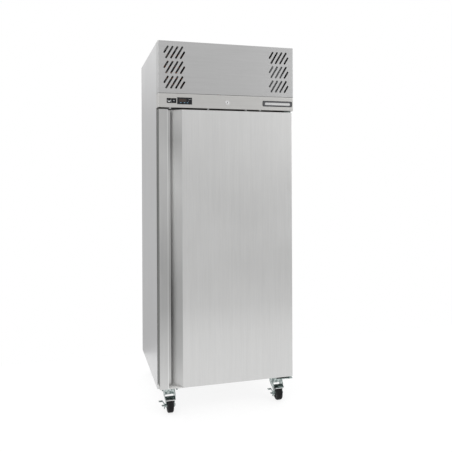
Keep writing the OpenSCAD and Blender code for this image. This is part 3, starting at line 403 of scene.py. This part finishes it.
class Shape:
    """Vertices and faces gathered from simple solids, for one piece."""

    def __init__(self):
        self.verts, self.faces = [], []

    def add(self, verts, faces):
        n = len(self.verts)
        self.verts += [Vector(v) for v in verts]
        self.faces += [tuple(i + n for i in f) for f in faces]

    def prism(self, outline, base, along, u, v):
        """A flat outline in the plane of u and v at base, extruded by the vector along."""
        base = Vector(base)
        low = [base + u * a + v * b for a, b in outline]
        n = len(outline)
        sides = [(i, (i + 1) % n, n + (i + 1) % n, n + i) for i in range(n)]
        self.add(low + [p + along for p in low],
                 [tuple(range(n))[::-1], tuple(range(n, 2 * n))] + sides)

    def framed(self, outer, inner, base, along, u, v):
        """A ring between two outlines with the same number of points, extruded."""
        base = Vector(base)
        n = len(outer)
        verts = []
        for low in (base, base + along):
            for outline in (outer, inner):
                verts += [low + u * a + v * b for a, b in outline]
        faces = []
        for i in range(n):
            j = (i + 1) % n
            faces += [(i, j, n + j, n + i), (2 * n + i, 3 * n + i, 3 * n + j, 2 * n + j),
                      (i, 2 * n + i, 2 * n + j, j), (n + i, n + j, 3 * n + j, 3 * n + i)]
        self.add(verts, faces)

    def turned(self, profile, center, axis, count, closed=True):
        """A profile of (radius, distance along the axis) points, turned round the axis."""
        u = axis.orthogonal().normalized()
        v = axis.cross(u)
        n = len(profile)
        verts = []
        for c, s in circle(1, count):
            out = u * c + v * s
            verts += [Vector(center) + out * r + axis * h for r, h in profile]
        faces = []
        for k in range(count):
            j = (k + 1) % count
            for i in range(n if closed else n - 1):
                m = (i + 1) % n
                faces.append((k * n + i, k * n + m, j * n + m, j * n + i))
        if not closed:
            faces.append(tuple(k * n for k in range(count)))
            faces.append(tuple(k * n + n - 1 for k in range(count))[::-1])
        self.add(verts, faces)

    def tube(self, points, radius, sides, loop=False):
        """A round tube along points in one plane or on a straight line."""
        points = [Vector(p) for p in points]
        n = len(points)
        rings = []
        for i, p in enumerate(points):
            before = points[i - 1] if i or loop else p
            after = points[(i + 1) % n] if i < n - 1 or loop else p
            t = (after - before).normalized()
            side = t.cross(Z if abs(t.z) < 0.9 else Y).normalized()
            up = side.cross(t)
            rings += [p + (side * c + up * s) * radius for c, s in circle(1, sides)]
        faces = []
        for i in range(n if loop else n - 1):
            j = (i + 1) % n
            for k in range(sides):
                m = (k + 1) % sides
                faces.append((i * sides + k, i * sides + m, j * sides + m, j * sides + k))
        if not loop:
            faces.append(tuple(range(sides))[::-1])
            faces.append(tuple(range((n - 1) * sides, n * sides)))
        self.add(rings, faces)

    def screw(self, at, out, r, h):
        """A pan head with a round recess, facing out."""
        socket_r, socket_floor = r * 0.42, h * 0.35
        self.turned([(0.2 * MM, socket_floor), (socket_r, socket_floor), (socket_r, h * 0.98),
                     (r * 0.82, h * 0.9), (r, h * 0.45), (r, -h * 0.2)], at, out, 24,
                    closed=False)

    def place(self, name, look, body, slot, bevel=0.0, smooth=True):
        return place(name, self.verts, self.faces, look, body, bevel, smooth)


# ---------------------------------------------------------------- door pieces

def door_pieces():
    """Edge profile, groove cap, gasket, inner pan and rivets, all on the door."""
    low, high = skin_lo.z, skin_hi.z

    # Dark closing profile down the latch side, above a light foot; its dark colour is also
    # painted shade for the gap beside the door
    proud, foot = 1.2 * MM, 18 * MM
    front, back = skin_lo.y + 1.5 * MM, skin_hi.y - 1 * MM
    section = [(0, front), (-proud, front + proud), (-proud, back - proud), (0, back)]
    s = Shape()
    s.prism(section, (skin_lo.x, 0, low + foot), Z * (high - low - foot - 2 * MM), X, Y)
    s.place("door_edge_profile", "edge", "door", "gasket", 0.3 * MM)
    s = Shape()
    s.prism(section, (skin_lo.x, 0, low + 1 * MM), Z * (foot - 1.5 * MM), X, Y)
    s.place("door_edge_foot", "foot", "door", "bush_plastic", 0.3 * MM)

    # Moulded cap on the foot of the finger groove, from behind the strip to the slant's end
    cap_lift, cap_t = 3 * MM, 1.6 * MM
    left, right = STRIP_EDGE - 17 * MM, SLANT_END - 1.4 * MM
    front, behind_strip = skin_lo.y + 0.4 * MM, skin_lo.y + 14.6 * MM
    back = skin_lo.y + 39.4 * MM
    bend = STRIP_EDGE + 0.4 * MM
    s = Shape()
    s.prism([(left, back), (left, behind_strip), (bend, behind_strip), (bend, front),
             (right, front), (CREASE - 0.6 * MM, back)],
            (0, 0, low + cap_lift), Z * cap_t, X, Y)
    s.place("groove_foot_cap", "cap", "door", "bush_plastic", 0.4 * MM)

    # Gasket: a base, a hollow bellows and the magnet strip, mitred round the door
    lo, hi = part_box("door_gasket")
    w, d, chamfer = 14 * MM, hi.y - lo.y, 0.8 * MM
    half = [(chamfer, 0), (chamfer, d * 0.16), (3.2 * MM, d * 0.22), (1.2 * MM, d * 0.36),
            (3.6 * MM, d * 0.50), (1.0 * MM, d * 0.62), (0, d * 0.72), (0, d - chamfer),
            (chamfer, d)]
    section = half[:1] + [(w - a, b) for a, b in half] + half[:0:-1]
    n = len(section)
    verts = []
    for cx, sx, cz, sz in ((lo.x, 1, lo.z, 1), (hi.x, -1, lo.z, 1),
                           (hi.x, -1, hi.z, -1), (lo.x, 1, hi.z, -1)):
        verts += [(cx + sx * a, lo.y + b, cz + sz * a) for a, b in section]
    s = Shape()
    s.add(verts, [(k * n + i, k * n + (i + 1) % n, ((k + 1) % 4) * n + (i + 1) % n,
                   ((k + 1) % 4) * n + i) for k in range(4) for i in range(n)])
    gasket = s.place("gasket_bellows", "gasket", "door", "gasket")
    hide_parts("door_gasket")

    # Pressed panel on the inside of the door, with a raised field
    liner_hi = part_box("door_liner")[1]
    mid = (lo + hi) / 2
    margin, border = 2 * w + 30 * MM, 120 * MM
    pan_w, pan_h = hi.x - lo.x - margin, hi.z - lo.z - margin
    sunk, pan_t, field_t = 0.2 * MM, 3.2 * MM, 2.8 * MM
    s = Shape()
    s.prism(rounded(pan_w, pan_h, 30 * MM), (mid.x, liner_hi.y - sunk, mid.z),
            Y * pan_t, X, Z)
    s.prism(rounded(pan_w - border, pan_h - border, 20 * MM),
            (mid.x, liner_hi.y + field_t, mid.z), Y * field_t, X, Z)
    s.place("door_inner_pan", "liner", "door", "inner_steel", 2.4 * MM)

    # Rivets down both sides of the gasket
    inset, out, rows = 60 * MM, 11 * MM, 9
    s = Shape()
    for k in range(rows):
        z = low + inset + k * (high - low - 2 * inset) / (rows - 1)
        for x in (lo.x - out, hi.x + out):
            s.screw((x, liner_hi.y, z), Y, 2.8 * MM, 1.2 * MM)
    s.place("door_liner_rivets", "pin", "door", "pin_steel")


# ---------------------------------------------------------------- header pieces

def rocker_legends():
    """A raised ring and bar on the power rocker, a dot on the light rocker."""
    tilt = math.radians(8)
    up = Vector((0, math.sin(tilt), math.cos(tilt)))
    out = Vector((0, -math.cos(tilt), math.sin(tilt)))
    relief = out * 0.6 * MM
    for node in ("power_rocker", "light_rocker"):
        lo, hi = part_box(node)
        mid = (lo + hi) / 2
        face = Vector((mid.x, lo.y + 1.3 * MM, mid.z))
        center = face + up * 0.8 * MM
        s = Shape()
        if node == "power_rocker":
            s.framed(rounded(16 * MM, 15 * MM, 6 * MM), rounded(12.6 * MM, 11.6 * MM, 4.4 * MM),
                     center, relief, X, up)
            s.prism(rounded(9.2 * MM, 3.2 * MM, 1 * MM), face - up * 2.6 * MM, relief, X, up)
        else:
            s.prism(circle(2.3 * MM, 24), center, relief, X, up)
        s.place(node + "_legend", "mark", node, "lamp", 0.1 * MM)


def controller_marks():
    """A fine rim round the window, three legend dashes, a status light and the key marks."""
    lo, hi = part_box("controller_window")
    case_lo, case_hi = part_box("controller_case")
    mid = (lo + hi) / 2
    w, h = hi.x - lo.x, hi.z - lo.z
    outside, inside = 3 * MM, 1.2 * MM
    s = Shape()
    s.framed(rounded(w + outside, h + outside, 1.6 * MM),
             rounded(w + inside, h + inside, 0.8 * MM),
             (mid.x, case_lo.y - 0.3 * MM, mid.z), Y * 0.6 * MM, X, Z)
    s.place("window_rim", "hub", "root", "control_black", 0.1 * MM)

    first, pitch, drop = 16.5 * MM, 5.8 * MM, 8.8 * MM
    s = Shape()
    for k in range(3):
        s.prism(rounded(4.2 * MM, 1.1 * MM, 0.4 * MM),
                (case_hi.x - first + k * pitch, case_lo.y - 0.1 * MM, case_hi.z - drop),
                Y * 0.4 * MM, X, Z)
    light = (case_hi.x - 19 * MM, case_lo.y - 0.2 * MM, case_lo.z + 16.2 * MM)
    s.prism(circle(1.1 * MM, 16), light, Y * 0.5 * MM, X, Z)
    s.place("controller_lights", "mark", "root", "lamp", 0.1 * MM)

    half_w, half_t = 1.2 * MM, 0.4 * MM
    dash = [(-half_w, -half_t), (half_w, -half_t), (half_w, half_t), (-half_w, half_t)]
    arrow = [(-1.1 * MM, -0.6 * MM), (1.1 * MM, -0.6 * MM), (0.0, 0.8 * MM)]
    for node, mark in (("set_key", dash), ("down_key", [(a, -b) for a, b in arrow]),
                       ("up_key", arrow)):
        lo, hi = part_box(node)
        mid = (lo + hi) / 2
        s = Shape()
        s.prism(mark, (mid.x, lo.y - 0.2 * MM, mid.z), Y * 0.4 * MM, X, Z)
        s.place(node + "_mark", "mark", node, "lamp")


def lock_face():
    """A keyway and a raised rim on the lock barrel."""
    lo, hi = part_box("lock_barrel")
    mid = (lo + hi) / 2
    r, relief = (hi.z - lo.z) / 2, 0.6 * MM
    s = Shape()
    s.prism(rounded(2.2 * MM, 8.5 * MM, 0.8 * MM), (mid.x, lo.y - 0.15 * MM, mid.z),
            Y * relief, X, Z)
    s.prism(rounded(4 * MM, 2.6 * MM, 0.8 * MM), (mid.x, lo.y - 0.1 * MM, mid.z + 1.2 * MM),
            Y * relief, X, Z)
    s.place("lock_keyway", "black", "lock", "control_black")
    s = Shape()
    s.turned([(r * 0.62, 0.0), (r * 0.70, -0.4 * MM), (r * 0.78, 0.0), (r * 0.78, relief),
              (r * 0.62, relief)], (mid.x, lo.y, mid.z), Y, 48)
    s.place("lock_face_ring", "pin", "lock", "pin_steel")


def badge():
    """Blank name plate: a raised dark frame round a plain bright bar."""
    lo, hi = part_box("badge_plate")
    mid = (lo + hi) / 2
    w, h = hi.x - lo.x, hi.z - lo.z
    border, front = 4 * MM, lo.y - 0.5 * MM
    s = Shape()
    s.framed(rounded(w, h, 6 * MM), rounded(w - border, h - border, 4.4 * MM),
             (mid.x, front, mid.z), Y * 1 * MM, X, Z)
    s.place("badge_frame", "black", "root", "badge", 0.2 * MM)
    s = Shape()
    s.prism(rounded(w - 26 * MM, h - 16.5 * MM, 5.2 * MM), (mid.x, front, mid.z - 1 * MM),
            Y * 0.8 * MM, X, Z)
    s.place("badge_bar", "rim", "root", "pin_steel", 0.2 * MM)


# ---------------------------------------------------------------- rear and inside

def rear_details():
    """Screws round the rear panel's edge, and a seam across it."""
    lo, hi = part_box("rear_panel")
    head_r, head_h = 3.6 * MM, 1.6 * MM
    side, end, edge, rows, columns = 12 * MM, 30 * MM, 14 * MM, 9, 5
    s = Shape()
    for k in range(rows):
        z = lo.z + end + k * (hi.z - lo.z - 2 * end) / (rows - 1)
        for x in (lo.x + side, hi.x - side):
            s.screw((x, hi.y, z), Y, head_r, head_h)
    for k in range(1, columns):
        x = lo.x + side + k * (hi.x - lo.x - 2 * side) / columns
        for z in (lo.z + edge, hi.z - edge):
            s.screw((x, hi.y, z), Y, head_r, head_h)
    s.place("rear_screws", "pin", "root", "pin_steel")

    seam_z, seam_h = 1.605, 10 * MM
    s = Shape()
    s.prism(rounded(hi.x - lo.x - 50 * MM, seam_h, 4.8 * MM), (0, hi.y - 0.2 * MM, seam_z),
            Y * 1.4 * MM, X, Z)
    s.place("rear_seam", "rear", "root", "outer_steel", 0.6 * MM)


def shelf_wires():
    """Round wires in place of each shelf's plain bars: a frame, a brace and close-set wires."""
    rod, wire, pitch, corner = 3 * MM, 2 * MM, 32 * MM, 8 * MM
    tip, dip, shoulder = 1.2 * MM, 1 * MM, 6 * MM
    for node in ("lower_shelf", "middle_shelf", "upper_shelf"):
        lo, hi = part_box(node)
        z, top = lo.z + rod, hi.z - wire
        half, mid_y = hi.x - rod, (lo.y + hi.y) / 2
        s = Shape()
        s.tube([(a, mid_y + b, z)
                for a, b in rounded(2 * half, hi.y - lo.y - 2 * rod, corner, 6)],
               rod, 14, loop=True)
        s.tube([(-half, mid_y, z), (half, mid_y, z)], rod, 14)
        count = int((hi.x - lo.x - pitch) // pitch)
        for k in range(count):
            x = (k - (count - 1) / 2) * pitch
            s.tube([(x, lo.y + tip, top - dip), (x, lo.y + shoulder, top),
                    (x, hi.y - shoulder, top), (x, hi.y - tip, top - dip)], wire, 10)
        piece = s.place(node + "_wires", "wire", node, "inner_steel")
        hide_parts(node)


def fan_guard():
    """Rings on four spokes over the evaporator fan's opening."""
    cover_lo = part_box("evaporator_cover")[0]
    fan_lo, fan_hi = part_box("evaporator_fan")
    mid = (fan_lo + fan_hi) / 2
    first, pitch, tip = 14 * MM, 12 * MM, 66 * MM
    s = Shape()
    for ring in range(5):
        s.tube([(mid.x + a, cover_lo.y - 3.2 * MM, mid.z + b)
                for a, b in circle(first + ring * pitch, 48)], 1.1 * MM, 8, loop=True)
    hub = Vector((mid.x, cover_lo.y - 1.8 * MM, mid.z))
    for k in range(4):
        a = math.radians(45 + 90 * k)
        out = X * math.cos(a) + Z * math.sin(a)
        s.tube([hub + out * 10 * MM, hub + out * tip], 1.3 * MM, 8)
        s.screw(hub + out * tip + Y * 0.6 * MM, -Y, 4 * MM, 2.2 * MM)
    s.place("evaporator_fan_guard", "wire", "root", "inner_steel")


def condenser():
    """Fins, end plates and tubes with their bends, in place of the plain block."""
    lo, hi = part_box("condenser_coil")
    block = [(lo.y, lo.z), (hi.y, lo.z), (hi.y, hi.z), (lo.y, hi.z)]
    margin, count, fin_t, plate_t = 16 * MM, 74, 0.4 * MM, 1.5 * MM
    s = Shape()
    for k in range(count):
        x = lo.x + margin + k * (hi.x - lo.x - 2 * margin) / (count - 1)
        s.prism(block, (x, 0, 0), X * fin_t, Y, Z)
    for x in (lo.x + 12 * MM, hi.x - 12 * MM - plate_t):
        s.prism(block, (x, 0, 0), X * plate_t, Y, Z)
    fins = s.place("condenser_fins", "coil", "root", "coil", smooth=False)
    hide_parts("condenser_coil")

    # Two rows of nine tubes, joined in pairs by bends at alternate ends
    tube_r, end, bend_x, bend_z = 4.5 * MM, 10 * MM, 6 * MM, 15.5 * MM
    row_y, row_pitch, tube_z, tubes = 13 * MM, 24 * MM, 18 * MM, 9
    s = Shape()
    for row in range(2):
        y = lo.y + row_y + row * row_pitch
        for k in range(tubes):
            z = lo.z + tube_z + k * 2 * bend_z
            s.tube([(lo.x + end, y, z), (hi.x - end, y, z)], tube_r, 10)
            if k < tubes - 1:
                x, way = (hi.x - end, 1) if k % 2 else (lo.x + end, -1)
                s.tube([(x + way * bend_x * math.sin(a), y, z + bend_z - bend_z * math.cos(a))
                        for a in (math.pi * i / 8 for i in range(9))], tube_r, 10)
    s.place("condenser_tubes", "copper", "root", "copper")


# ---------------------------------------------------------------- castors

def wheels():
    """Each wheel as a grooved tyre on a spoked hub, in place of its plain solid."""
    rim, shoulder, edge = 26 * MM, 7.5 * MM, 1 * MM
    groove, groove_pitch, lip, floor_half = 0.5 * MM, 2.6 * MM, 0.5 * MM, 0.3 * MM
    bore, boss, boss_foot, web, flange = 5.05 * MM, 10.5 * MM, 12 * MM, 22.5 * MM, 24.5 * MM
    boss_h, web_h, flange_h = 5 * MM, 6 * MM, 1.5 * MM
    spoke = [(11 * MM, -1.4 * MM), (23.8 * MM, -1.8 * MM), (23.8 * MM, 1.8 * MM),
             (11 * MM, 1.4 * MM)]
    for end in ("front", "rear"):
        for side in ("left", "right"):
            node = f"{end}_{side}_wheel"
            lo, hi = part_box(node)
            mid = (lo + hi) / 2
            r, half = (hi.z - lo.z) / 2, (hi.x - lo.x) / 2

            def corner(degrees, middle):
                """A point on the tyre's rounded shoulder."""
                a = math.radians(degrees)
                return (r - shoulder + shoulder * math.cos(a), middle + shoulder * math.sin(a))

            tread = [(rim, -half + edge), (rim + 2 * MM, -half), (r - shoulder, -half)]
            tread += [corner(18 * k - 90, shoulder - half) for k in range(1, 6)]
            for k in range(-3, 4):
                at = k * groove_pitch
                tread += [(r, at - lip), (r - groove, at - floor_half),
                          (r - groove, at + floor_half), (r, at + lip)]
            tread += [corner(18 * k, half - shoulder) for k in range(5)]
            tread += [(r - shoulder, half), (rim + 2 * MM, half), (rim, half - edge)]
            s = Shape()
            s.turned(tread, mid, X, 72)
            tyre = s.place(node + "_tyre", "tyre", node, "tyre")
            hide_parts(node)

            hub = [(bore, -half), (boss, -half), (boss_foot, boss_h - half),
                   (web, web_h - half), (flange, flange_h - half),
                   (rim + 0.3 * MM, flange_h - half)]
            hub += [(radius, -at) for radius, at in reversed(hub)]
            s = Shape()
            s.turned(hub, mid, X, 60)
            for c, n in circle(1, 5):
                for way in (-X, X):
                    s.prism(spoke, mid + way * (half - 5.6 * MM), way * 3 * MM,
                            Y * c + Z * n, Z * c - Y * n)
            s.place(node + "_hub", "hub", node, "control_black", 0.3 * MM)


def guard_lips():
    """A rolled lip along the front edge of each braked castor's guard."""
    r, angle, half = 42.8 * MM, math.radians(129), 24.5 * MM
    for side in ("left", "right"):
        lo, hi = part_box(f"front_{side}_wheel")
        mid = (lo + hi) / 2
        y, z = mid.y + r * math.cos(angle), mid.z + r * math.sin(angle)
        s = Shape()
        s.tube([(mid.x - half, y, z), (mid.x + half, y, z)], 2.6 * MM, 12)
        s.place(f"front_{side}_guard_lip", "pin", f"front_{side}_castor", "zinc", 0.5 * MM)


door_pieces()
guard_lips()
rocker_legends()
controller_marks()
lock_face()
badge()
rear_details()
shelf_wires()
fan_guard()
condenser()
wheels()


# ---------------------------------------------------------------- floor, light, camera

# The studio's brightness by the height of the direction looked in: (height, level)
FRONT_BANDS = ((-1.0, 0.80), (-0.35, 0.70), (-0.22, 0.56), (-0.13, 0.50), (-0.05, 0.60),
               (0.04, 0.74), (0.14, 0.84), (0.30, 0.88), (1.0, 0.92))
BACK_BANDS = ((-1.0, 0.55), (-0.35, 0.52), (-0.18, 0.64), (-0.05, 0.66), (0.05, 0.66),
              (0.12, 0.66), (0.20, 1.04), (0.40, 1.02), (1.0, 0.92))


def floor():
    """A pale studio floor in front of and beside the cabinet."""
    mesh = bpy.data.meshes.new("floor")
    (x0, y0), (x1, y1) = (-2.6, -3.0), (2.6, 0.7)
    mesh.from_pydata([(x0, y0, 0), (x1, y0, 0), (x1, y1, 0), (x0, y1, 0)], [], [(0, 1, 2, 3)])
    obj = bpy.data.objects.new("floor", mesh)
    bpy.context.scene.collection.objects.link(obj)
    g = Graph("floor_white")
    g.set(Base_Color=(0.22, 0.22, 0.22), Roughness=0.9, Emission_Color=(1.0, 1.0, 1.0),
          Emission_Strength=0.80)
    mesh.materials.append(g.mat)


def world():
    """White to the camera. Everything else sees soft bands, one set in front, one behind."""
    w = bpy.data.worlds.new("studio")
    bpy.context.scene.world = w
    w.use_nodes = True
    t = w.node_tree
    t.nodes.clear()

    def add(kind):
        return t.nodes.new(kind)

    split = add("ShaderNodeSeparateXYZ")
    t.links.new(add("ShaderNodeTexCoord").outputs["Generated"], split.inputs[0])

    def banded(stops):
        height = add("ShaderNodeMapRange")
        height.inputs["From Min"].default_value = -1.0
        t.links.new(split.outputs["Z"], height.inputs["Value"])
        ramp = add("ShaderNodeValToRGB")
        t.links.new(height.outputs["Result"], ramp.inputs["Fac"])
        elements = ramp.color_ramp.elements
        while len(elements) < len(stops):
            elements.new(0.5)
        for element, (at, level) in zip(elements, stops):
            element.position = (at + 1) / 2
            element.color = (level, level, level, 1)
        return ramp.outputs["Color"]

    blend = 0.15
    behind = add("ShaderNodeMapRange")
    behind.inputs["From Min"].default_value = -blend
    behind.inputs["From Max"].default_value = blend
    t.links.new(split.outputs["Y"], behind.inputs["Value"])
    mix = add("ShaderNodeMix")
    mix.data_type = "RGBA"
    t.links.new(behind.outputs["Result"], mix.inputs["Factor"])
    t.links.new(banded(FRONT_BANDS), mix.inputs["A"])
    t.links.new(banded(BACK_BANDS), mix.inputs["B"])
    studio = add("ShaderNodeBackground")
    t.links.new(mix.outputs["Result"], studio.inputs["Color"])
    white = add("ShaderNodeBackground")
    white.inputs["Color"].default_value = (1, 1, 1, 1)
    choose = add("ShaderNodeMixShader")
    t.links.new(add("ShaderNodeLightPath").outputs["Is Camera Ray"], choose.inputs[0])
    t.links.new(studio.outputs[0], choose.inputs[1])
    t.links.new(white.outputs[0], choose.inputs[2])
    t.links.new(choose.outputs[0], add("ShaderNodeOutputWorld").inputs["Surface"])


def softbox(name, at, width, power):
    """A square soft light at a place, aimed at the middle of the cabinet."""
    aim = Vector((0.0, 0.0, 1.0))
    light = bpy.data.lights.new(name, "AREA")
    light.shape = "RECTANGLE"
    light.size = light.size_y = width
    light.energy = power
    obj = bpy.data.objects.new(name, light)
    obj.location = at
    obj.rotation_euler = (aim - Vector(at)).to_track_quat("-Z", "Y").to_euler()
    bpy.context.scene.collection.objects.link(obj)


def camera():
    """Level, seen from the front left at 1.25 m, with a lowered frame and almost no roll."""
    cam = bpy.data.cameras.new("camera")
    cam.lens = 43.13
    cam.sensor_width = 36.0
    cam.shift_y = -0.1086
    cam.clip_end = 50.0
    obj = bpy.data.objects.new("camera", cam)
    obj.location = (-0.7705, -3.1481, 1.2467)
    yaw, level, roll = (math.radians(a) for a in (-15.28, 90, -0.25))
    turn = Matrix.Rotation(yaw, 4, "Z") @ Matrix.Rotation(level, 4, "X")
    obj.rotation_euler = (turn @ Matrix.Rotation(roll, 4, "Z")).to_euler()
    bpy.context.scene.collection.objects.link(obj)
    bpy.context.scene.camera = obj


floor()
world()
softbox("key", (-2.2, -2.8, 3.2), 1.6, 25.0)
softbox("fill", (2.6, -2.4, 2.2), 1.8, 12.0)
camera()
bpy.context.scene.view_settings.view_transform = "Standard"
